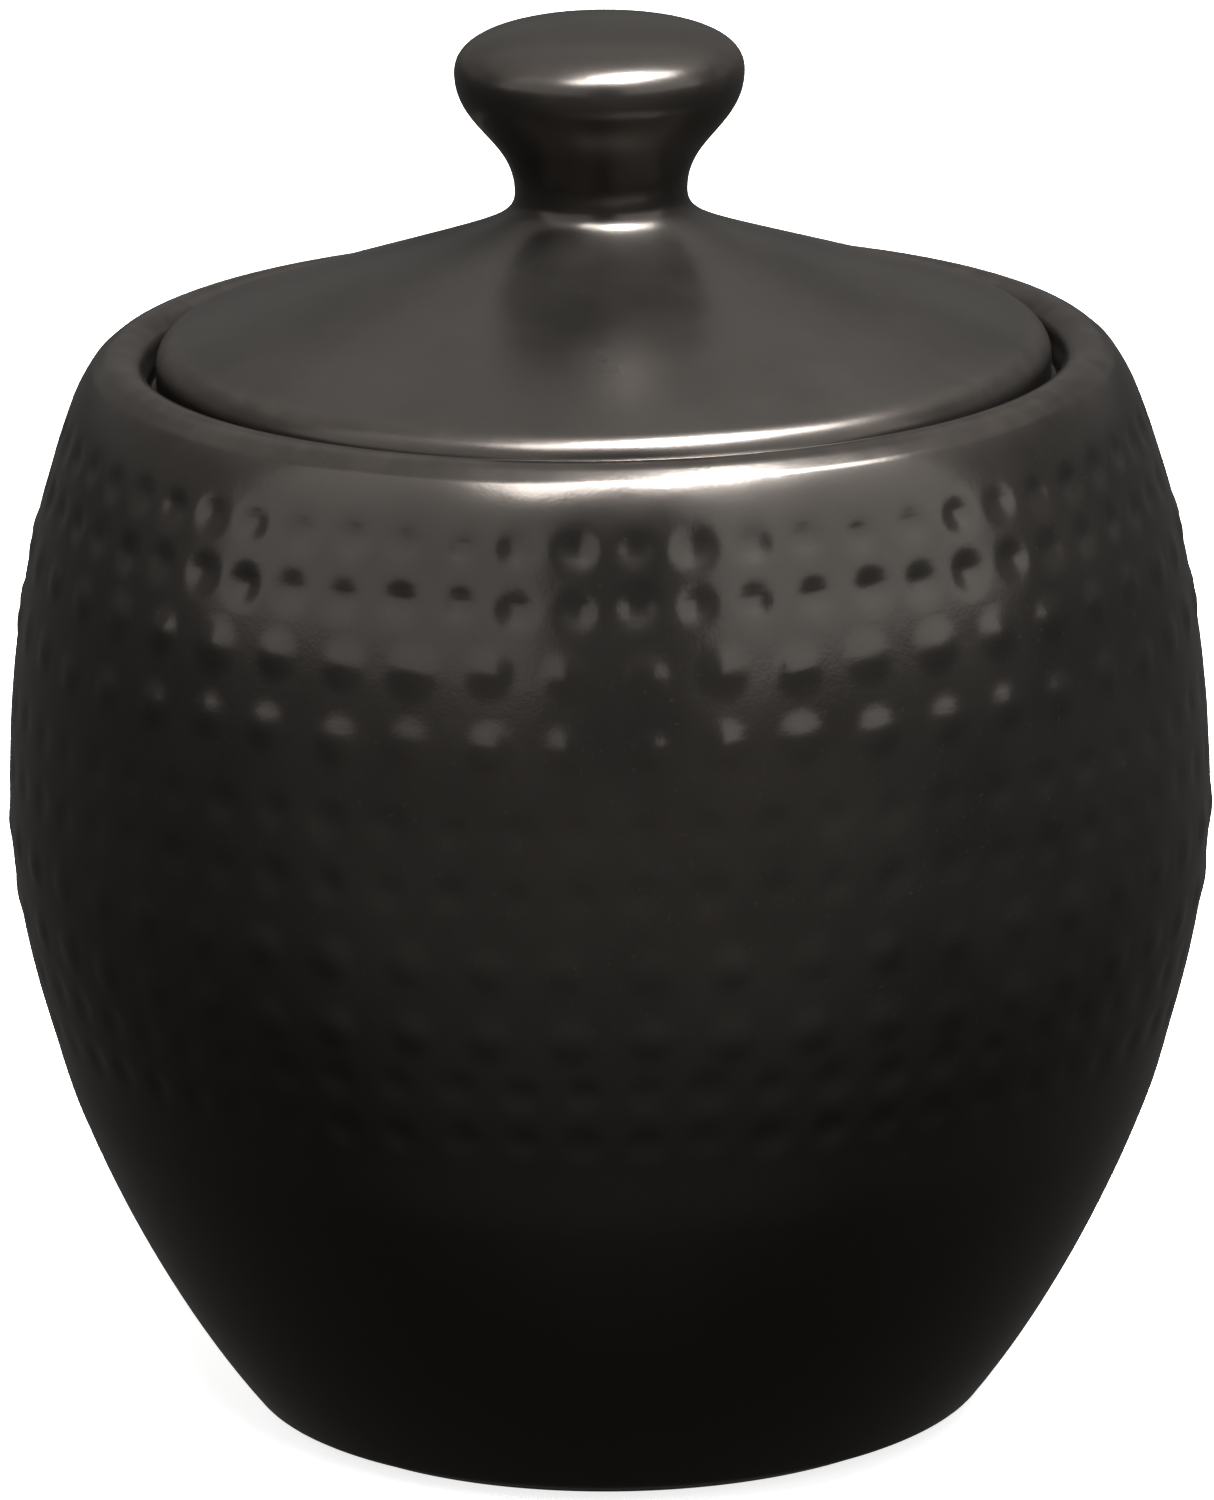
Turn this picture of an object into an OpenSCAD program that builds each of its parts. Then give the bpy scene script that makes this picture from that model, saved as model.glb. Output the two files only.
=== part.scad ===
// Covered sugar bowl in black glazed stoneware.
// A round-bellied bowl stands on a low bare foot ring. A shallow cone-shaped lid sits down
// inside the rolled lip, on a ledge, and carries a mushroom-shaped knob.
// Units are millimetres. The origin is on the axis, at the foot's underside, and +Z is up.

/* [Bowl] */
// Widest diameter of the bowl
body_d = 100; // [94:1:110]
// Height of the widest point above the table
belly_z = 52; // [46:1:56]
// Height of the top of the lip
rim_z = 90; // [86:1:96]
// Thickness of the wall at the belly
wall_t = 4; // [3:0.5:5]
// Thickness of the floor
floor_t = 5; // [4:0.5:7]

/* [Lip and ledge] */
// Radius of the rolled lip
lip_r = 2.2; // [1.6:0.1:2.6]
// Diameter of the well that the lid's edge drops into
well_d = 75.2; // [74:0.2:77]
// Diameter of the mouth through the ledge
mouth_d = 68.8; // [66:0.2:69]
// Depth of the ledge below the top of the lip
ledge_depth = 3.7; // [3:0.1:4.5]
// Thickness of the ledge at the mouth
ledge_t = 2.7; // [2:0.1:3.5]

/* [Foot] */
// Outer diameter of the foot ring
foot_d = 56.4; // [52:0.4:60]
// Width of the foot ring's band
foot_w = 5; // [3:0.5:7]
// Height of the foot ring
foot_h = 0.8; // [0.6:0.1:1.2]
// Radius of the corner where the wall turns under
corner_r = 2; // [1.6:0.2:3]

/* [Lid] */
// Gap between the lid's edge and the well, each side
lid_gap = 0.8; // [0.4:0.1:1]
// Slope of the lid's upper face, in degrees
lid_slope = 19; // [16:1:22]
// Radius of the lid's rounded edge
lid_edge_r = 1.5; // [1:0.1:1.8]
// Gap between the flange and the mouth, each side
flange_gap = 0.5; // [0.4:0.1:1]
// Thickness of the flange
flange_t = 3; // [2.5:0.5:4]
// Depth of the flange below the ledge
flange_depth = 7; // [5:0.5:9]

/* [Knob] */
// Smallest diameter of the knob's neck
neck_d = 14.2; // [12:0.2:16]
// Largest diameter of the knob's head
knob_d = 23.8; // [20:0.2:26]
// Height of the neck's narrowest point above the lip
neck_up = 12.9; // [12:0.1:14]
// Height of the head's widest point above the lip
head_up = 22.9; // [21:0.1:25]
// Height of the domed top above the lip
top_up = 27; // [26:0.1:30]

/* [Hidden] */
$fn = 96;
GLAZE = [0.09, 0.09, 0.09];
BARE_CLAY = [0.32, 0.29, 0.26];
STEPS = 18;
UP = 90;
LEFT = 180;
EDGE = 0.4;

body_r = body_d / 2;
well_r = well_d / 2;
mouth_r = mouth_d / 2;
foot_r = foot_d / 2;
ledge_z = rim_z - ledge_depth;
// The underside stands out past the ring by a small step, before the corner turns up
step_w = 1.1;
corner_x = foot_r + step_w;
corner_turn = 51.5;
// The lip's roll runs from this angle, over the top and down into the well
lip_start = 42;
lip_c = [well_r + lip_r, rim_z - lip_r];
// How far each end of a wall curve keeps to its starting direction
foot_pull = 14.8;
belly_pull_down = 17.3;
belly_pull_up = 19;
lip_pull = 5.2;

// The floor is flat out to floor_r
inner_r = body_r - wall_t;
under_ledge = ledge_z - ledge_t;
floor_z = foot_h + floor_t;
floor_r = 18;
floor_pull = 16;
inner_pull_down = 22;
inner_pull_up = 16;
ledge_pull = [7.2, -3.6];
recess_r = foot_r - foot_w;
recess_z = foot_h + 1;
recess_dome = 0.4;
recess_pull = 8;

lid_r = well_r - lid_gap;
edge_drop = 0.5;
edge_c = [lid_r - lid_edge_r, rim_z - edge_drop];
flange_r = mouth_r - flange_gap;
flange_in_r = flange_r - flange_t;
flange_z = ledge_z - flange_depth;
hollow_z = rim_z + 6.2;
hollow_pull = [14, -0.2];
hollow_foot_pull = [-0.4, 2.4];
neck_r = neck_d / 2;
knob_r = knob_d / 2;
lid_pull = 25.4;
neck_pull = 3;
neck_pull_up = 4.6;
head_pull_down = 4.4;
head_pull_up = 2.9;
dome_pull = 7.7;
// The knob is joined to the lid at this step of the curve that runs up to its neck
JOIN = 11;

// A cubic curve from p0 to p3, pulled towards p1 and p2
function curve(p0, p1, p2, p3, n = STEPS) = [
    for (i = [0:n])
        let (t = i / n, s = 1 - t)
            s * s * s * p0 + 3 * s * s * t * p1 + 3 * s * t * t * p2 + t * t * t * p3
];

// An arc about a centre
function arc(centre, radius, from, to, n = 8) = [
    for (i = [0:n])
        let (a = from + (to - from) * i / n)
            centre + radius * [cos(a), sin(a)]
];

function dir(a) = [cos(a), sin(a)];
function last(points) = points[len(points) - 1];
function tail(points) = [for (i = [1:len(points) - 1]) points[i]];
function part_of(points, from, to) = [for (i = [from:to]) points[i]];

// Outside of the bowl, from the underside of its corner up to the well
corner = arc([corner_x, foot_h + corner_r], corner_r, -UP, corner_turn - UP);
lower_wall = curve(
    last(corner),
    last(corner) + foot_pull * dir(corner_turn),
    [body_r, belly_z - belly_pull_down],
    [body_r, belly_z]
);
lip = arc(lip_c, lip_r, lip_start, LEFT, 12);
upper_wall = curve(
    [body_r, belly_z],
    [body_r, belly_z + belly_pull_up],
    lip[0] - lip_pull * dir(lip_start + UP),
    lip[0]
);

// Inside of the bowl, from the mouth down to the middle of the floor
inside_top = curve(
    [mouth_r, under_ledge],
    [mouth_r, under_ledge] + ledge_pull,
    [inner_r, belly_z + inner_pull_up],
    [inner_r, belly_z]
);
inside_low = curve(
    [inner_r, belly_z],
    [inner_r, belly_z - inner_pull_down],
    [floor_r + floor_pull, floor_z],
    [floor_r, floor_z]
);

// Recess inside the foot ring
recess = curve(
    [0, recess_z + recess_dome],
    [recess_r - recess_pull, recess_z + recess_dome],
    [recess_r, recess_z],
    [recess_r, foot_h],
    10
);

// Upper face of the lid, and on up the knob's foot to its neck
lid_edge = arc(edge_c, lid_edge_r, 0, UP - lid_slope);
lid_top = curve(
    last(lid_edge),
    last(lid_edge) + lid_pull * dir(LEFT - lid_slope),
    [neck_r, rim_z + neck_up - neck_pull],
    [neck_r, rim_z + neck_up]
);
neck_to_head = curve(
    [neck_r, rim_z + neck_up],
    [neck_r, rim_z + neck_up + neck_pull_up],
    [knob_r, rim_z + head_up - head_pull_down],
    [knob_r, rim_z + head_up]
);
head_top = curve(
    [knob_r, rim_z + head_up],
    [knob_r, rim_z + head_up + head_pull_up],
    [dome_pull, rim_z + top_up],
    [0, rim_z + top_up]
);

// Hollow under the lid, from the middle out to the foot of the flange
hollow = curve(
    [0, hollow_z],
    [0, hollow_z] + hollow_pull,
    [flange_in_r, ledge_z] + hollow_foot_pull,
    [flange_in_r, ledge_z]
);

module turned(outline) {
    rotate_extrude() polygon(outline);
}

module bowl() {
    color(GLAZE) turned(concat(
        recess,
        corner,
        tail(lower_wall),
        tail(upper_wall),
        tail(lip),
        [[well_r, ledge_z], [mouth_r, ledge_z]],
        inside_top,
        tail(inside_low),
        [[0, floor_z]]
    ));
}

module foot_ring() {
    color(BARE_CLAY) turned([
        [recess_r, foot_h],
        [recess_r, EDGE],
        [recess_r + EDGE, 0],
        [foot_r - EDGE, 0],
        [foot_r, EDGE],
        [foot_r, foot_h]
    ]);
}

module lid() {
    color(GLAZE) turned(concat(
        hollow,
        [
            [flange_in_r, flange_z + EDGE],
            [flange_in_r + EDGE, flange_z],
            [flange_r - EDGE, flange_z],
            [flange_r, flange_z + EDGE],
            [flange_r, ledge_z],
            [lid_r - EDGE, ledge_z],
            [lid_r, ledge_z + EDGE]
        ],
        lid_edge,
        part_of(lid_top, 1, JOIN),
        [[0, lid_top[JOIN][1]]]
    ));
}

module knob() {
    color(GLAZE) turned(concat(
        [[0, lid_top[JOIN][1]]],
        part_of(lid_top, JOIN, STEPS),
        tail(neck_to_head),
        tail(head_top)
    ));
}

bowl();
foot_ring();
lid();
knob();
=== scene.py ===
import math
import random

import bpy
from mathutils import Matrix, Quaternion, Vector, noise


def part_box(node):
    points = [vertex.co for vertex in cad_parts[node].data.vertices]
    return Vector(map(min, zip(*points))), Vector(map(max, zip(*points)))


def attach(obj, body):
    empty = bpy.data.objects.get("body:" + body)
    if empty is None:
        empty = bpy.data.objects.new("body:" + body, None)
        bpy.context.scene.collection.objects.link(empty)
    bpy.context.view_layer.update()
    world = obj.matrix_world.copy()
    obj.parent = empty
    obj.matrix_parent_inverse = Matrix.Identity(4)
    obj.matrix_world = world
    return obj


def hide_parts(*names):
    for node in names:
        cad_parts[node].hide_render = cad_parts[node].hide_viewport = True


# Covered sugar bowl in black satin glaze. Outlines are in millimetres, as (radius, height).
# They follow the curves that the CAD solids are turned from, with rounder small edges and a lip
# that is a little fuller at its outer corner. Meshes are made in metres.

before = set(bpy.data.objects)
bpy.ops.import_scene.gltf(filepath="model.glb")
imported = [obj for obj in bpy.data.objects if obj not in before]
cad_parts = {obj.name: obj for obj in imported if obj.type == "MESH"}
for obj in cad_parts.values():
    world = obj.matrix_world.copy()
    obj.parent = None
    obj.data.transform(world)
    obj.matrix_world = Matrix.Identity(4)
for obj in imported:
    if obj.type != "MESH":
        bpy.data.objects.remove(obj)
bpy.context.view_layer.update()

MM = 0.001
FULL = 2 * math.pi
RNG = random.Random(7)

# Lengths in millimetres. A point nearer to the axis than this lies on it, two points nearer
# to each other than this are one, and a point nearer to a cut than this is left to the cut.
ON_AXIS = 1e-6
SAME_POINT = 1e-4
AT_CUT = 1e-3


def box_mm(node):
    """Lowest and highest corner of a CAD node, in millimetres."""
    low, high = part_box(node)
    return low / MM, high / MM


BOWL_HIGH = box_mm("bowl")[1]
FOOT_HIGH = box_mm("foot_ring")[1]
LID_LOW, LID_HIGH = box_mm("lid")
KNOB_HIGH = box_mm("knob")[1]

# Sizes that the CAD boxes give
BODY_R = BOWL_HIGH.x
RIM_Z = BOWL_HIGH.z
FOOT_R = FOOT_HIGH.x
FOOT_H = FOOT_HIGH.z
LID_R = LID_HIGH.x
FLANGE_Z = LID_LOW.z
JOIN_Z = LID_HIGH.z
KNOB_R = KNOB_HIGH.x
TOP_Z = KNOB_HIGH.z

# Sizes that lie inside the boxes. Turns, starts and slopes are angles in degrees.
BELLY_Z = 52.0
WALL_T = 4.0
FLOOR_T = 5.0
FLOOR_R = 18.0
FOOT_W = 5.0
FOOT_SEAM_W = 1.0
RECESS_H = 1.0
RECESS_DOME = 0.4
CORNER_R = 2.0
CORNER_TURN = 51.5
STEP_W = 1.1
LIP_R = 2.2
LIP_START = 37
LIP_TURN = 50
LIP_SLOPE_W = 0.8
LID_GAP = 0.8
LEDGE_DEPTH = 3.7
LEDGE_T = 2.7
MOUTH_R = 34.4
FLANGE_GAP = 0.5
FLANGE_T = 3.0
LID_EDGE_R = 2.4
LID_EDGE_DROP = 1.14
LID_SLOPE = 19.0
NECK_R = 7.1
NECK_UP = 12.9
HEAD_UP = 22.9
HOLLOW_UP = 6.2
WELL_R = LID_R + LID_GAP
LEDGE_Z = RIM_Z - LEDGE_DEPTH
UNDER_LEDGE_Z = LEDGE_Z - LEDGE_T

# How far the ends of each curve are pulled along their own directions
RECESS_PULL = 8.0
FOOT_PULL = 14.8
BELLY_PULL_DOWN = 17.3
BELLY_PULL_UP = 19.0
LIP_PULL = 4.8
LEDGE_PULL_OUT = 7.2
LEDGE_PULL_DOWN = 3.6
INNER_PULL_UP = 16.0
INNER_PULL_DOWN = 22.0
FLOOR_PULL = 16.0
LID_PULL = 25.4
NECK_PULL_DOWN = 3.0
NECK_PULL_UP = 4.6
HEAD_PULL_DOWN = 4.4
HEAD_PULL_UP = 2.9
DOME_PULL = 7.7
HOLLOW_PULL = 14.0
HOLLOW_SAG = 0.2
HOLLOW_PULL_IN = 0.4
HOLLOW_PULL_UP = 2.4

# Small roundings where a worked edge is left by a sponge or by the glaze. Each takes less than
# half of either side that it lies between.
LEDGE_SOFT = 0.6
FOOT_SOFT = 0.35
FLANGE_SOFT = 0.7
SIDE_SHARE = 1 / 2.2
SOFT_STEPS = 5

# An outline's last stretch to the axis is a flat cap if it is longer than this
CAP_W = 3.0

# How finely the curves, the bowl's wall and the turns are divided
RECESS_STEPS = 16
CORNER_STEPS = 6
LIP_STEPS = 18
WALL_STEPS = 72
INSIDE_STEPS = 22
LID_EDGE_STEPS = 16
LID_STEPS = 120
HOLLOW_STEPS = 60
KNOB_STEPS = 60
BAND_STEP = 0.66
PLAIN_STEP = 1.6
AROUND = 240
AROUND_FINE = 720

# Where the glaze begins to run thin, and where it is thinnest
THIN_LIP_Z = (RIM_Z - 2.5, RIM_Z)
THIN_LID_R = (LID_R - 2.6, LID_R - 0.4)
THIN_LID_Z = (RIM_Z - 1.0, RIM_Z + 0.4)
THIN_KNOB_R = (KNOB_R - 3.0, KNOB_R)
THIN_KNOB_Z = (TOP_Z - 5.0, TOP_Z - 3.0)

# The lid is wiped clean of glaze this far from its resting face and its flange's lower edge
WIPED = 0.3


# ---------------------------------------------------------------- outlines

def aim(degrees):
    """Unit vector in the plane of an outline."""
    return Vector((math.cos(math.radians(degrees)), math.sin(math.radians(degrees))))


def curve(p0, p1, p2, p3, steps):
    """Cubic curve from p0 to p3, pulled towards p1 and p2."""
    points = []
    for i in range(steps + 1):
        t = i / steps
        s = 1 - t
        points.append(s**3 * p0 + 3 * s * s * t * p1 + 3 * s * t * t * p2 + t**3 * p3)
    return points


def arc(centre, radius, start, end, steps):
    """Arc about a centre, between two directions in degrees."""
    return [centre + radius * aim(start + (end - start) * i / steps) for i in range(steps + 1)]


def softened(corners, radius):
    """A run of straight lines whose inner corners are rounded off."""
    points = [corners[0]]
    for before, corner, after in zip(corners, corners[1:], corners[2:]):
        back = (before - corner).normalized()
        on = (after - corner).normalized()
        shorter = min((before - corner).length, (after - corner).length)
        reach = min(radius, shorter * SIDE_SHARE)
        start, end = corner + back * reach, corner + on * reach
        for i in range(SOFT_STEPS + 1):
            t = i / SOFT_STEPS
            points.append((1 - t) ** 2 * start + 2 * t * (1 - t) * corner + t * t * end)
    return points + [corners[-1]]


def joined(*runs):
    """One outline from several runs, without the points that repeat."""
    points = []
    for run in runs:
        for p in run:
            if not points or (p - points[-1]).length > SAME_POINT:
                points.append(p)
    return points


def lengths(points):
    """Running length along an outline."""
    total = [0.0]
    for a, b in zip(points, points[1:]):
        total.append(total[-1] + (b - a).length)
    return total


def evenly(points, step):
    """The same outline, with points a set distance apart."""
    total = lengths(points)
    count = max(2, round(total[-1] / step))
    out, k = [points[0]], 0
    for i in range(1, count):
        want = total[-1] * i / count
        while total[k + 1] < want:
            k += 1
        t = (want - total[k]) / (total[k + 1] - total[k])
        out.append(points[k].lerp(points[k + 1], t))
    return out + [points[-1]]


def cut_below(points, height):
    """The start of a rising outline, up to a height."""
    kept = [p for p in points if p.y < height - AT_CUT]
    nxt = points[len(kept)]
    t = (height - kept[-1].y) / (nxt.y - kept[-1].y)
    return kept + [kept[-1].lerp(nxt, t)]


def cut_above(points, height):
    """The rest of a rising outline, from a height on."""
    kept = [p for p in points if p.y > height + AT_CUT]
    last = points[len(points) - len(kept) - 1]
    t = (height - last.y) / (kept[0].y - last.y)
    return [last.lerp(kept[0], t)] + kept


def v(r, z):
    """A point of an outline."""
    return Vector((r, z))


def smooth(low, high, x):
    """A value that eases from 0 at low to 1 at high, which may be the smaller of the two."""
    t = min(1.0, max(0.0, (x - low) / (high - low)))
    return t * t * (3 - 2 * t)


# ---------------------------------------------------------------- meshes

def placed(name, data):
    """A new object in the scene."""
    made = bpy.data.objects.new(name, data)
    bpy.context.scene.collection.objects.link(made)
    return made


def turned(point, azimuth):
    """A point of an outline turned about Z, in metres. Azimuth 0 is the camera's side."""
    return point.x * math.sin(azimuth) * MM, -point.x * math.cos(azimuth) * MM, point.y * MM


def around(point, count):
    """Azimuths of a ring's vertices. A point on the axis has only one."""
    return [FULL * k / count for k in range(1 if point.x < ON_AXIS else count)]


def normals_of(points):
    """Outward normal at each point of an outline that runs anticlockwise.

    A flat cap that closes the outline to the axis has no say in its neighbour's normal.
    """
    out = []
    for i, here in enumerate(points):
        ends = [points[max(i - 1, 0)], points[min(i + 1, len(points) - 1)]]
        ends = [here if p.x < ON_AXIS and (p - here).length > CAP_W else p for p in ends]
        along = ends[1] - ends[0] if ends[1] != ends[0] else Vector((1, 0))
        out.append(Vector((along.y, -along.x)).normalized())
    return out


def ring_faces(low, n_low, high, n_high):
    """Faces between two rings, given each ring's first vertex and its number of vertices."""
    faces = []
    if n_low == n_high:
        for k in range(n_low):
            j = (k + 1) % n_low
            faces.append((low + k, low + j, high + j, high + k))
    elif n_low == 1:
        for k in range(n_high):
            faces.append((low, high + (k + 1) % n_high, high + k))
    elif n_high == 1:
        for k in range(n_low):
            faces.append((low + k, low + (k + 1) % n_low, high))
    else:
        # Three fine sides meet each coarse one
        fine, coarse, n = (high, low, n_low) if n_high > n_low else (low, high, n_high)
        for k in range(n):
            a, b = coarse + k, coarse + (k + 1) % n
            f = [fine + (3 * k + i) % (3 * n) for i in range(4)]
            made = [(a, f[1], f[0]), (a, b, f[2], f[1]), (b, f[3], f[2])]
            faces += made if n_high > n_low else [tuple(reversed(m)) for m in made]
    return faces


def new_piece(name, verts, faces, materials):
    """A smooth mesh in the scene, with its materials."""
    mesh = bpy.data.meshes.new(name)
    mesh.from_pydata(verts, [], faces)
    mesh.polygons.foreach_set("use_smooth", [True] * len(faces))
    for material in materials:
        mesh.materials.append(material)
    return placed(name, mesh)


def lathe(name, points, counts, materials, marks, shifts=None, slots=None):
    """A closed mesh turned about Z.

    points runs anticlockwise from the axis back to the axis. counts gives the vertices of each
    ring. marks(i) is a value from 0 to 1 for the materials. shifts(i, azimuth) moves a vertex
    along the outline's normal, in millimetres. slots(i) is the material of the band of faces
    after point i.
    """
    verts, firsts, values = [], [], []
    for i, (p, n) in enumerate(zip(points, normals_of(points))):
        firsts.append(len(verts))
        for azimuth in around(p, counts[i]):
            moves = shifts and p.x >= ON_AXIS
            verts.append(turned(p + n * shifts(i, azimuth) if moves else p, azimuth))
            values.append(marks(i))
    firsts.append(len(verts))
    faces, indices = [], []
    for i in range(len(points) - 1):
        low, high, end = firsts[i:i + 3]
        made = ring_faces(low, high - low, high, end - high)
        faces += made
        indices += [slots(i) if slots else 0] * len(made)
    piece = new_piece(name, verts, faces, materials)
    piece.data.polygons.foreach_set("material_index", indices)
    piece.data.attributes.new("thin", "FLOAT", "POINT").data.foreach_set("value", values)
    piece.data.update()
    return piece


def follow_outline(piece, points, counts):
    """Shades a turned piece by its outline's own normals, so that pieces meet without a seam."""
    normals = []
    for p, n, count in zip(points, normals_of(points), counts):
        on_axis = p.x < ON_AXIS
        for azimuth in around(p, count):
            r = 0.0 if on_axis else n.x
            up = math.copysign(1, n.y) if on_axis else n.y
            normals.append((r * math.sin(azimuth), -r * math.cos(azimuth), up))
    piece.data.normals_split_custom_set_from_vertices(normals)


# ---------------------------------------------------------------- dimples on the bowl's wall

# Rows come in pairs of one kind: height of the upper row, drop to the lower one, strength
PAIRS = [
    ("pit", 84.0, 4.6, 1.0),
    ("bead", 74.6, 5.8, 1.0),
    ("pit", 62.0, 5.0, 0.55),
    ("bead", 50.8, 6.0, 0.8),
    ("pit", 40.4, 4.3, 0.55),
]
PIT_H = -0.25
BEAD_H = 0.22
# Number around, place of the first in degrees, radius across and along the wall, rise
KINDS = {
    "pit": (60, 3.0, 2.1, 1.9, PIT_H),
    "bead": (48, 3.5, 2.35, 2.2, BEAD_H),
}
# Spread of each dimple's place across and along the wall, and of its size and height
SIDE_SPREAD = 0.10
UP_SPREAD = 0.12
SIZE_SPREAD = 0.06
HEIGHT_SPREAD = 0.14
# A dimple ends within this many of its radii, whatever its own size and place
REACH = 1.6
# The dimpled band of the wall is sunk by a bead's height, and fades out at both ends
BAND_FADE = 7.0
BAND_LOW = 27.0
BAND_HIGH = 87.0
# Slow waviness of the band: the size of its waves, and how deep they go
WAVE_W = 16.0
WAVE_DEPTH = 0.07


def dimple_rows(wall):
    """Each row of dimples, with its place along the wall and each dimple's own unevenness."""
    total = lengths(wall)
    rows = []
    for kind, top, drop, strength in PAIRS:
        count, first, across, along, rise = KINDS[kind]
        for height in (top, top - drop):
            i = min(range(len(wall)), key=lambda j: abs(wall[j].y - height))
            uneven = [
                (
                    RNG.gauss(0, SIDE_SPREAD), RNG.gauss(0, UP_SPREAD),
                    RNG.gauss(1, SIZE_SPREAD), RNG.gauss(1, HEIGHT_SPREAD),
                )
                for _ in range(count)
            ]
            rows.append(
                (total[i], count, math.radians(first), across, along, rise * strength, uneven)
            )
    return rows


def dimple(rows, place, azimuth, radius):
    """How far the dimples move the wall at one point, in millimetres."""
    moved = 0.0
    for middle, count, first, across, along, rise, uneven in rows:
        if abs(place - middle) > REACH * along:
            continue
        pitch = FULL / count
        k = round((azimuth - first) / pitch)
        side, up, size, height = uneven[k % count]
        x = (radius * (azimuth - first - k * pitch) - side) / (across * size)
        y = (place - middle - up) / (along * size)
        d = x * x + y * y
        if d < 1:
            moved += rise * height * (1 - d) ** 2
    return moved


def unevenness(p, azimuth):
    """Slow hand-made waviness of the wall, always inwards."""
    q = Vector((p.x * math.sin(azimuth), -p.x * math.cos(azimuth), p.y)) / WAVE_W
    return -WAVE_DEPTH * (0.5 + 0.5 * noise.noise(q))


# ---------------------------------------------------------------- bowl

def under_outline():
    """The recess inside the foot ring, and the corner that turns up outside it."""
    recess_r = FOOT_R - FOOT_W
    recess_z = FOOT_H + RECESS_H
    top = recess_z + RECESS_DOME
    recess = curve(
        v(0, top), v(recess_r - RECESS_PULL, top), v(recess_r, recess_z), v(recess_r, FOOT_H),
        RECESS_STEPS,
    )
    centre = v(FOOT_R + STEP_W, FOOT_H + CORNER_R)
    return joined(recess, arc(centre, CORNER_R, -90, CORNER_TURN - 90, CORNER_STEPS))


def lip_outline():
    """The lip, from its outer corner by a short slope to the crown, and down into the well."""
    crown = v(WELL_R + LIP_R, RIM_Z - LIP_R)
    corner = crown + LIP_SLOPE_W * aim(LIP_TURN - 90)
    return joined(
        arc(corner, LIP_R, LIP_START, LIP_TURN, CORNER_STEPS),
        arc(crown, LIP_R, LIP_TURN, 180, LIP_STEPS),
    )


def wall_outline(start, end):
    """The wall from the corner up to the lip, with closer points from the dimpled band on."""
    belly = v(BODY_R, BELLY_Z)
    lower = curve(
        start, start + FOOT_PULL * aim(CORNER_TURN), v(BODY_R, BELLY_Z - BELLY_PULL_DOWN), belly,
        WALL_STEPS,
    )
    upper = curve(
        belly, v(BODY_R, BELLY_Z + BELLY_PULL_UP), end - LIP_PULL * aim(LIP_START + 90), end,
        WALL_STEPS,
    )
    wall = joined(lower, upper)
    return joined(
        evenly(cut_below(wall, BAND_LOW), PLAIN_STEP), evenly(cut_above(wall, BAND_LOW), BAND_STEP)
    )


def inside_outline():
    """The hollow, from the mouth down to the middle of the floor."""
    inner_r = BODY_R - WALL_T
    floor_z = FOOT_H + FLOOR_T
    top = curve(
        v(MOUTH_R, UNDER_LEDGE_Z),
        v(MOUTH_R + LEDGE_PULL_OUT, UNDER_LEDGE_Z - LEDGE_PULL_DOWN),
        v(inner_r, BELLY_Z + INNER_PULL_UP), v(inner_r, BELLY_Z), INSIDE_STEPS,
    )
    low = curve(
        v(inner_r, BELLY_Z), v(inner_r, BELLY_Z - INNER_PULL_DOWN),
        v(FLOOR_R + FLOOR_PULL, floor_z), v(FLOOR_R, floor_z), INSIDE_STEPS,
    )
    return joined(top, low, [v(FLOOR_R / 2, floor_z), v(0, floor_z)])


def bowl_outline():
    """The bowl's outline from its underside round to its floor, and the zone of each point."""
    under, lip = under_outline(), lip_outline()
    ledge = [lip[-1], v(WELL_R, LEDGE_Z), v(MOUTH_R, LEDGE_Z), v(MOUTH_R, UNDER_LEDGE_Z)]
    runs = {
        "under": under,
        "wall": wall_outline(under[-1], lip[0]),
        "lip": lip,
        "ledge": softened(ledge, LEDGE_SOFT),
        "inside": inside_outline(),
    }
    points, zones = [], []
    for name, run in runs.items():
        for p in run:
            if not points or (p - points[-1]).length > SAME_POINT:
                points.append(p)
                zones.append(name)
    return points, zones


def make_bowl(glaze, clay):
    """The bowl as one closed shell, glazed but for the recess in its underside."""
    points, zones = bowl_outline()
    total = lengths(points)
    rows = dimple_rows(points[zones.index("wall"):zones.index("lip")])
    start = total[zones.index("wall")]
    fine = [z == "wall" and BAND_LOW < p.y < BAND_HIGH for p, z in zip(points, zones)]
    counts = [AROUND_FINE if f else AROUND for f in fine]

    def shifts(i, azimuth):
        p = points[i]
        if zones[i] != "wall":
            return 0.0
        sunk = smooth(BAND_LOW, BAND_LOW + BAND_FADE, p.y) * smooth(
            BAND_HIGH, BAND_HIGH - BAND_FADE, p.y
        )
        moved = -BEAD_H * sunk + unevenness(p, azimuth) * sunk
        return min(0.0, moved + dimple(rows, total[i] - start, azimuth, p.x))

    def marks(i):
        return smooth(*THIN_LIP_Z, points[i].y) if zones[i] in ("wall", "lip") else 0.0

    def slots(i):
        middle = (points[i] + points[i + 1]) / 2
        return 1 if zones[i] == "under" and middle.x < FOOT_R else 0

    piece = lathe("bowl_shell", points, counts, [glaze, clay], marks, shifts, slots)
    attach(piece, "bowl")
    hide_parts("bowl")


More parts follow.
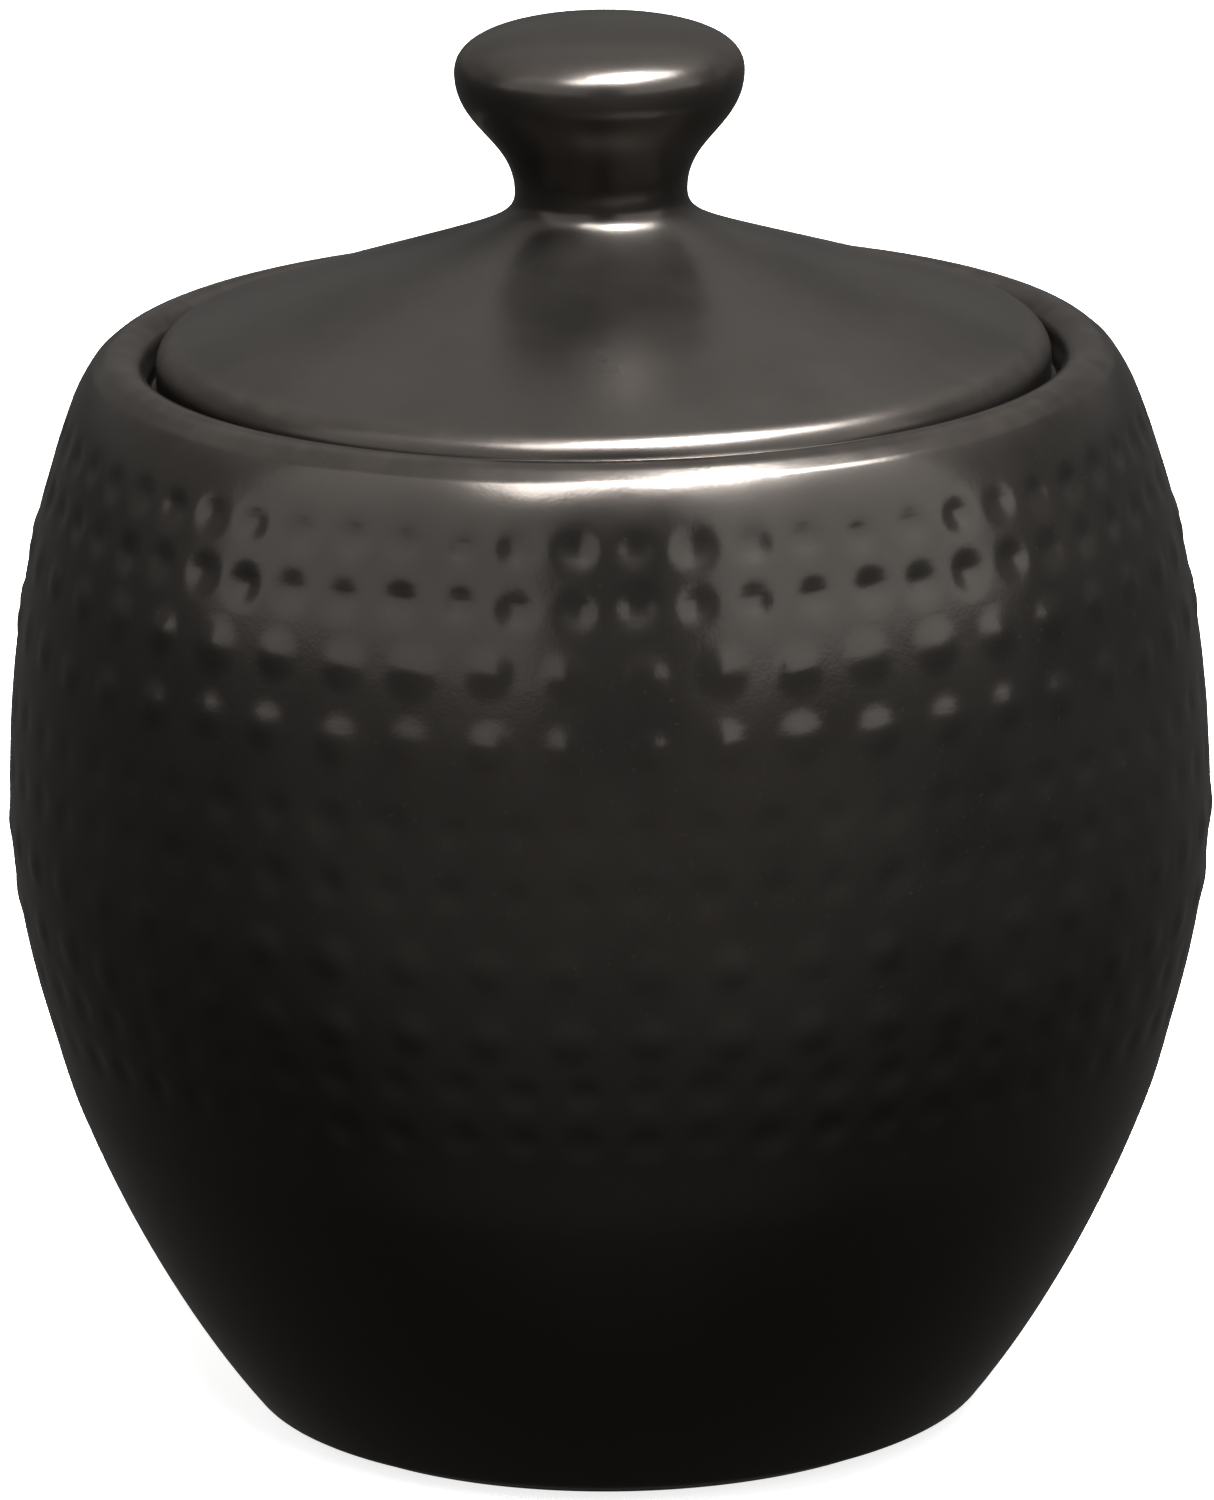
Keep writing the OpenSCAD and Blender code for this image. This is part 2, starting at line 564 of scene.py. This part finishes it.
def make_foot_ring(clay):
    """The bare ring that the bowl stands on. It is one ring with no points on the axis.

    Its outline starts and ends on its upper face, so that all four edges are rounded.
    """
    inner_r = FOOT_R - FOOT_W
    seam = v(inner_r + FOOT_SEAM_W, FOOT_H)
    outline = softened([
        seam, v(inner_r, FOOT_H), v(inner_r, 0), v(FOOT_R, 0), v(FOOT_R, FOOT_H), seam,
    ], FOOT_SOFT)[:-1]
    n = len(outline)
    verts, faces = [], []
    for k in range(AROUND):
        verts += [turned(p, FULL * k / AROUND) for p in outline]
        a, b = k * n, (k + 1) % AROUND * n
        faces += [(a + i, b + i, b + (i + 1) % n, a + (i + 1) % n) for i in range(n)]
    piece = new_piece("foot_ring_clay", verts, faces, [clay])
    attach(piece, "bowl")
    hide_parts("foot_ring")


# ---------------------------------------------------------------- lid and knob

def lid_edge_outline():
    """The lid's rounded edge."""
    centre = v(LID_R - LID_EDGE_R, RIM_Z - LID_EDGE_DROP)
    return arc(centre, LID_EDGE_R, 0, 90 - LID_SLOPE, LID_EDGE_STEPS)


def lid_top_outline():
    """Upper face of the lid, from its rounded edge up the knob's foot to the neck."""
    start = lid_edge_outline()[-1]
    neck_z = RIM_Z + NECK_UP
    return curve(
        start, start + LID_PULL * aim(180 - LID_SLOPE), v(NECK_R, neck_z - NECK_PULL_DOWN),
        v(NECK_R, neck_z), LID_STEPS,
    )


def make_lid(glaze, clay):
    """The lid up to where the knob is joined, with its hollow and flange."""
    flange_r = MOUTH_R - FLANGE_GAP
    inner_r = flange_r - FLANGE_T
    hollow_z = RIM_Z + HOLLOW_UP
    hollow = curve(
        v(0, hollow_z), v(HOLLOW_PULL, hollow_z - HOLLOW_SAG),
        v(inner_r - HOLLOW_PULL_IN, LEDGE_Z + HOLLOW_PULL_UP), v(inner_r, LEDGE_Z), HOLLOW_STEPS,
    )
    edge = lid_edge_outline()
    flange = softened([
        v(inner_r, LEDGE_Z), v(inner_r, FLANGE_Z), v(flange_r, FLANGE_Z), v(flange_r, LEDGE_Z),
        v(LID_R, LEDGE_Z), edge[0],
    ], FLANGE_SOFT)
    top = cut_below(lid_top_outline(), JOIN_Z)
    points = joined(hollow, flange, edge, top, [v(0, JOIN_Z)])
    counts = [AROUND] * len(points)

    def marks(i):
        return smooth(*THIN_LID_R, points[i].x) * smooth(*THIN_LID_Z, points[i].y)

    def slots(i):
        middle = (points[i] + points[i + 1]) / 2
        bearing = abs(middle.y - LEDGE_Z) < WIPED and middle.x > flange_r - WIPED
        under = middle.y < FLANGE_Z + WIPED
        return 1 if bearing or under else 0

    piece = lathe("lid_shell", points, counts, [glaze, clay], marks, slots=slots)
    follow_outline(piece, points, counts)
    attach(piece, "lid")
    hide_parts("lid")


def make_knob(glaze):
    """The knob, from its foot on the lid up to the dome."""
    neck_z = RIM_Z + NECK_UP
    head_z = RIM_Z + HEAD_UP
    neck = curve(
        v(NECK_R, neck_z), v(NECK_R, neck_z + NECK_PULL_UP),
        v(KNOB_R, head_z - HEAD_PULL_DOWN), v(KNOB_R, head_z), KNOB_STEPS,
    )
    head = curve(
        v(KNOB_R, head_z), v(KNOB_R, head_z + HEAD_PULL_UP), v(DOME_PULL, TOP_Z), v(0, TOP_Z),
        KNOB_STEPS,
    )
    points = joined([v(0, JOIN_Z)], cut_above(lid_top_outline(), JOIN_Z), neck, head)
    counts = [AROUND] * len(points)

    def marks(i):
        return smooth(*THIN_KNOB_R, points[i].x) * smooth(*THIN_KNOB_Z, points[i].y)

    piece = lathe("knob_grip", points, counts, [glaze], marks)
    follow_outline(piece, points, counts)
    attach(piece, "lid")
    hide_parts("knob")


# ---------------------------------------------------------------- materials

# Lowest and highest roughness of the glaze. The lid's is a little duller than the bowl's.
BOWL_ROUGH = (0.175, 0.215)
LID_ROUGH = (0.235, 0.275)
GLAZE_IOR = 1.8
GLAZE_TINT = (1.0, 0.90, 0.82, 1)
GLAZE_BLACK = (0.0024, 0.0023, 0.0021)
GLAZE_CLOUD = (0.0040, 0.0037, 0.0034)
GLAZE_SPECK = (0.009, 0.008, 0.007)
GLAZE_THIN = (0.0085, 0.0070, 0.0060)
CLAY_DARK = (0.125, 0.104, 0.087)
CLAY_PALE = (0.185, 0.158, 0.135)
CLAY_GRIT = (0.055, 0.043, 0.036)

# Each noise's scale per metre and its detail
CLOUDS = (90, 4)
SPECKS = (2600, 1)
BREAKS = (420, 3)
GLOSS = (140, 5)
PEEL = (330, 2)
GRAIN = (3200, 3)
CLAY_CLOUDS = (160, 5)
GRIT = (2300, 2)
DRYNESS = (700, 4)
TOOTH = (1900, 4)
FLOOR_PATCHES = (3, 2)

# Each relief's height in metres and its strength
PEEL_RELIEF = (0.0004, 0.05)
GRAIN_RELIEF = (0.00006, 0.10)
TOOTH_RELIEF = (0.0001, 0.5)


class Graph:
    """A material's node tree, built node by node."""

    def __init__(self, name):
        self.material = bpy.data.materials.new(name)
        self.material.use_nodes = True
        self.tree = self.material.node_tree
        self.shader = self.tree.nodes["Principled BSDF"]

    def node(self, kind, **values):
        made = self.tree.nodes.new(kind)
        for key, value in values.items():
            setattr(made, key, value)
        return made

    def link(self, out, into):
        self.tree.links.new(out, into)

    def place(self):
        return self.node("ShaderNodeTexCoord").outputs["Object"]

    def noise(self, scale, detail):
        """A noise from 0 to 1, by its scale per metre."""
        made = self.node("ShaderNodeTexNoise")
        made.inputs["Scale"].default_value = scale
        made.inputs["Detail"].default_value = detail
        self.link(self.place(), made.inputs["Vector"])
        return made.outputs["Fac"]

    def ramp(self, source, low, high, first, last):
        """A value that runs from first to last while the source runs from low to high."""
        made = self.node("ShaderNodeMapRange")
        for socket, value in zip(made.inputs[1:5], (low, high, first, last)):
            socket.default_value = value
        self.link(source, made.inputs[0])
        return made.outputs[0]

    def mix(self, amount, first, second):
        """A mix of two colours, each of them an RGB tuple or another node's output."""
        made = self.node("ShaderNodeMix", data_type="RGBA")
        self.link(amount, made.inputs["Factor"])
        for socket, value in ((made.inputs[6], first), (made.inputs[7], second)):
            if isinstance(value, tuple):
                socket.default_value = (*value, 1)
            else:
                self.link(value, socket)
        return made.outputs[2]

    def relief(self, source, height, strength, under=None):
        """Fine relief in the shading, on top of another relief if one is given."""
        made = self.node("ShaderNodeBump")
        made.inputs["Distance"].default_value = height
        made.inputs["Strength"].default_value = strength
        self.link(source, made.inputs["Height"])
        if under:
            self.link(under, made.inputs["Normal"])
        return made.outputs["Normal"]


def glaze_material(name, rough_range):
    """Black satin glaze: a warm black that breaks to brown where it runs thin over an edge."""
    g = Graph(name)
    clouds = g.ramp(g.noise(*CLOUDS), 0.35, 0.65, 0, 1)
    black = g.mix(clouds, GLAZE_BLACK, GLAZE_CLOUD)
    specks = g.ramp(g.noise(*SPECKS), 0.70, 0.76, 0, 0.6)
    black = g.mix(specks, black, GLAZE_SPECK)
    thin = g.node("ShaderNodeAttribute", attribute_name="thin").outputs["Fac"]
    broken = g.node("ShaderNodeMath", operation="MULTIPLY")
    g.link(thin, broken.inputs[0])
    g.link(g.ramp(g.noise(*BREAKS), 0.4, 0.7, 0.15, 0.75), broken.inputs[1])
    g.link(g.mix(broken.outputs[0], black, GLAZE_THIN), g.shader.inputs["Base Color"])
    g.link(g.ramp(g.noise(*GLOSS), 0.3, 0.7, *rough_range), g.shader.inputs["Roughness"])
    peel = g.relief(g.noise(*PEEL), *PEEL_RELIEF)
    grain = g.relief(g.noise(*GRAIN), *GRAIN_RELIEF, peel)
    g.link(grain, g.shader.inputs["Normal"])
    g.shader.inputs["IOR"].default_value = GLAZE_IOR
    g.shader.inputs["Specular Tint"].default_value = GLAZE_TINT
    return g.material


def clay_material():
    """Unglazed dark stoneware: dry, speckled and slightly gritty."""
    g = Graph("bare_stoneware")
    clouds = g.ramp(g.noise(*CLAY_CLOUDS), 0.3, 0.7, 0, 1)
    body = g.mix(clouds, CLAY_DARK, CLAY_PALE)
    grit = g.ramp(g.noise(*GRIT), 0.62, 0.72, 0, 0.8)
    g.link(g.mix(grit, body, CLAY_GRIT), g.shader.inputs["Base Color"])
    g.link(g.ramp(g.noise(*DRYNESS), 0.3, 0.7, 0.72, 0.9), g.shader.inputs["Roughness"])
    g.link(g.relief(g.noise(*TOOTH), *TOOTH_RELIEF), g.shader.inputs["Normal"])
    return g.material


# ---------------------------------------------------------------- studio

CENTRE = Vector((0, 0, 0.055))
CAMERA_UP = 15.5
CAMERA_AWAY = 1.0
CAMERA_ROLL = -0.85
LENS = 357.6
SENSOR_W = 36
CLIP = (0.01, 100)
AIM = Vector((-0.0002, 0, 0.0553))

# Name, azimuth, distance away, height above the middle, lean, width, height and power of each
# light. Lengths are in metres, angles in degrees and powers in watts.
LIGHTS = [
    ("window_left", -49, 1.0, 0.98, 0, 1.50, 1.60, 4.2),
    ("window_right", 53, 1.0, 0.98, 0, 1.30, 1.60, 5.5),
    ("lamp_above", 36, 0.34, 0.83, 68, 0.34, 0.28, 37.0),
    ("strip_above", 30, 0.36, 0.88, 68, 1.15, 0.28, 16.5),
]

# The world's strength by direction. Each row says where along one axis a change starts and
# ends, and the strength, or the share of it, at both. Z is up and Y is -1 towards the camera.
HIGH_SKY = (0.42, 0.66, 0.0, 0.23)
SKYLINE = (-0.02, 0.20, 0.0, 0.09)
SKY_SHARE = (-0.62, -0.20, 0.06, 1.0)
TABLE_GLOW = (-0.10, 0.20, 0.07, 0.0)
TABLE_SHARE = (-0.90, -0.20, 1.0, 0.0)
AMBIENT = (-0.90, 0.15, 0.04, 0.09)
WORLD_TINT = (1.0, 0.965, 0.93, 1)
WHITE = (1, 1, 1, 1)

# The floor lies just under the object
FLOOR_REACH = 15.0
FLOOR_Z = -0.00002
FLOOR_DARK = (0.86, 0.86, 0.855)
FLOOR_PALE = (0.89, 0.89, 0.885)
FLOOR_ROUGH = 0.9
FLOOR_SHINE = 0.1
FLOOR_GLOW = 0.8


def towards(azimuth, elevation):
    """Unit vector to a light. Azimuth 0 is the camera's side and 90 is +X."""
    a, e = math.radians(azimuth), math.radians(elevation)
    return Vector((math.sin(a) * math.cos(e), -math.cos(a) * math.cos(e), math.sin(e)))


def softbox(name, azimuth, away, up, lean, width, height, power):
    """A rectangular light that isn't itself seen by the camera.

    It stands away from the object and above its middle, in metres, and leans over it by an
    angle in degrees. At 0 it is upright.
    """
    data = bpy.data.lights.new(name, "AREA")
    data.shape = "RECTANGLE"
    data.size = width
    data.size_y = height
    data.energy = power
    light = placed(name, data)
    light.location = CENTRE + towards(azimuth, 0) * away + Vector((0, 0, up))
    light.rotation_mode = "QUATERNION"
    light.rotation_quaternion = (-towards(azimuth, lean)).to_track_quat("-Z", "Y")
    light.visible_camera = False


def make_world():
    """White to the camera. To the object, a sky that is dim on the camera's side, a low glow
    back from the table on that side, and a faint light everywhere.
    """
    world = bpy.data.worlds.new("studio")
    bpy.context.scene.world = world
    world.use_nodes = True
    tree = world.node_tree
    tree.nodes.clear()
    coords = tree.nodes.new("ShaderNodeTexCoord")
    split = tree.nodes.new("ShaderNodeSeparateXYZ")
    tree.links.new(coords.outputs["Generated"], split.inputs[0])

    def ranged(axis, low, high, first, last):
        made = tree.nodes.new("ShaderNodeMapRange")
        made.interpolation_type = "SMOOTHSTEP"
        for socket, value in zip(made.inputs[1:5], (low, high, first, last)):
            socket.default_value = value
        tree.links.new(split.outputs[axis], made.inputs[0])
        return made.outputs[0]

    def combine(operation, a, b):
        made = tree.nodes.new("ShaderNodeMath")
        made.operation = operation
        tree.links.new(a, made.inputs[0])
        tree.links.new(b, made.inputs[1])
        return made.outputs[0]

    sky = combine("ADD", ranged("Z", *HIGH_SKY), ranged("Z", *SKYLINE))
    sky = combine("MULTIPLY", sky, ranged("Y", *SKY_SHARE))
    table = combine("MULTIPLY", ranged("Y", *TABLE_SHARE), ranged("Z", *TABLE_GLOW))
    strength = combine("ADD", combine("ADD", sky, table), ranged("Z", *AMBIENT))
    glow = tree.nodes.new("ShaderNodeBackground")
    glow.inputs["Color"].default_value = WORLD_TINT
    tree.links.new(strength, glow.inputs["Strength"])
    white = tree.nodes.new("ShaderNodeBackground")
    white.inputs["Color"].default_value = WHITE
    path = tree.nodes.new("ShaderNodeLightPath")
    seen = tree.nodes.new("ShaderNodeMixShader")
    out = tree.nodes.new("ShaderNodeOutputWorld")
    tree.links.new(path.outputs["Is Camera Ray"], seen.inputs[0])
    tree.links.new(glow.outputs[0], seen.inputs[1])
    tree.links.new(white.outputs[0], seen.inputs[2])
    tree.links.new(seen.outputs[0], out.inputs["Surface"])


def make_floor():
    """A wide pale floor that the glaze doesn't mirror."""
    ways = [(-1, -1), (1, -1), (1, 1), (-1, 1)]
    mesh = bpy.data.meshes.new("floor")
    mesh.from_pydata(
        [(x * FLOOR_REACH, y * FLOOR_REACH, FLOOR_Z) for x, y in ways], [], [(0, 1, 2, 3)]
    )
    g = Graph("pale_floor")
    g.link(g.mix(g.noise(*FLOOR_PATCHES), FLOOR_DARK, FLOOR_PALE), g.shader.inputs["Base Color"])
    g.shader.inputs["Roughness"].default_value = FLOOR_ROUGH
    g.shader.inputs["Specular IOR Level"].default_value = FLOOR_SHINE
    g.shader.inputs["Emission Color"].default_value = WHITE
    g.shader.inputs["Emission Strength"].default_value = FLOOR_GLOW
    mesh.materials.append(g.material)
    floor = placed("floor", mesh)
    floor.visible_glossy = False
    floor.visible_diffuse = False


def make_camera():
    """The photo's view: from a little above, and turned a little about its own axis."""
    data = bpy.data.cameras.new("camera")
    data.lens = LENS
    data.sensor_width = SENSOR_W
    data.sensor_fit = "HORIZONTAL"
    data.clip_start, data.clip_end = CLIP
    camera = placed("camera", data)
    back = towards(0, CAMERA_UP)
    camera.location = AIM + back * CAMERA_AWAY
    camera.rotation_mode = "QUATERNION"
    level = (-back).to_track_quat("-Z", "Y")
    camera.rotation_quaternion = Quaternion(back, math.radians(CAMERA_ROLL)) @ level
    bpy.context.scene.camera = camera


def main():
    glaze = glaze_material("black_satin_glaze", BOWL_ROUGH)
    lid_glaze = glaze_material("black_satin_glaze_lid", LID_ROUGH)
    clay = clay_material()
    make_camera()
    make_bowl(glaze, clay)
    make_foot_ring(clay)
    make_lid(lid_glaze, clay)
    make_knob(lid_glaze)
    make_floor()
    make_world()
    for light in LIGHTS:
        softbox(*light)
    bpy.context.scene.view_settings.view_transform = "Standard"


main()
